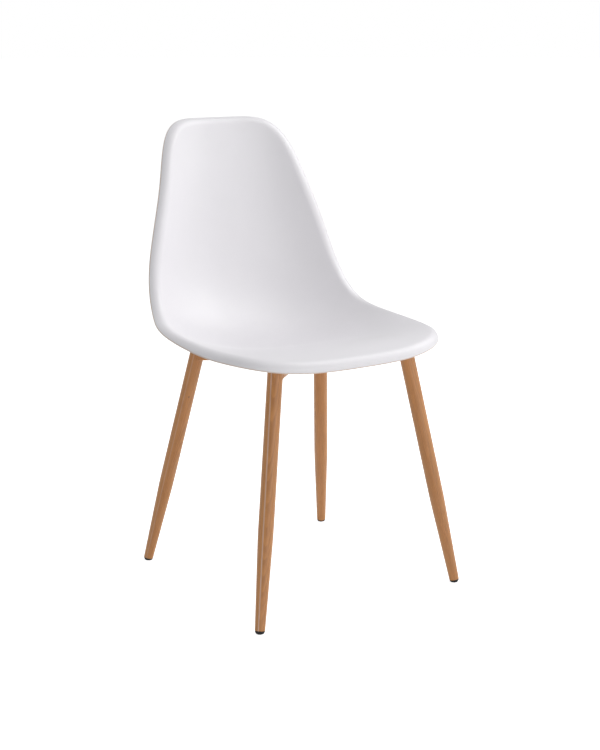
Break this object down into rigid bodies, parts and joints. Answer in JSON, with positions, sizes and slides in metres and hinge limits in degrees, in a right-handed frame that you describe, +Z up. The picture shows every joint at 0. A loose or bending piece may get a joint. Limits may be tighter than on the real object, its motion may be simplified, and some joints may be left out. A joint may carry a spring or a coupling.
{
  "type": "dining chair",
  "caption": "Armless dining chair with a one-piece moulded plastic bucket seat, rolled lip, crossed steel frame and splayed tapered tube legs.",
  "frame": {"origin": "on the floor, under the middle of the chair's box", "axes": "+Z up, the chair faces -Y, +X to the sitter's left"},
  "size_m": [0.466, 0.4808, 0.8108],
  "materials": {
    "shell_plastic": "white moulded plastic, fine satin grain",
    "wood_print_steel": "steel tube with a printed light wood grain under satin lacquer",
    "black_plastic": "black moulded plastic",
    "pad_rubber": "dark rubber",
    "insert_brass": "machined brass",
    "zinc_steel": "zinc-plated steel"
  },
  "bodies": {
    "root": {"seat_shell": "shell_plastic", "frame_bar_long": "wood_print_steel", "frame_bar_front_right": "wood_print_steel", "frame_bar_rear_left": "wood_print_steel", "frame_plate": "wood_print_steel", "leg_front_right": "wood_print_steel", "leg_cap_front_right": "black_plastic", "foot_glide_front_right": "black_plastic", "seat_pad_front_right": "pad_rubber", "threaded_insert_front_right": "insert_brass", "washer_front_right": "zinc_steel", "seat_bolt_front_right": "zinc_steel", "leg_front_left": "wood_print_steel", "leg_cap_front_left": "black_plastic", "foot_glide_front_left": "black_plastic", "seat_pad_front_left": "pad_rubber", "threaded_insert_front_left": "insert_brass", "washer_front_left": "zinc_steel", "seat_bolt_front_left": "zinc_steel", "leg_rear_right": "wood_print_steel", "leg_cap_rear_right": "black_plastic", "foot_glide_rear_right": "black_plastic", "seat_pad_rear_right": "pad_rubber", "threaded_insert_rear_right": "insert_brass", "washer_rear_right": "zinc_steel", "seat_bolt_rear_right": "zinc_steel", "leg_rear_left": "wood_print_steel", "leg_cap_rear_left": "black_plastic", "foot_glide_rear_left": "black_plastic", "seat_pad_rear_left": "pad_rubber", "threaded_insert_rear_left": "insert_brass", "washer_rear_left": "zinc_steel", "seat_bolt_rear_left": "zinc_steel"}
  },
  "joints": []
}
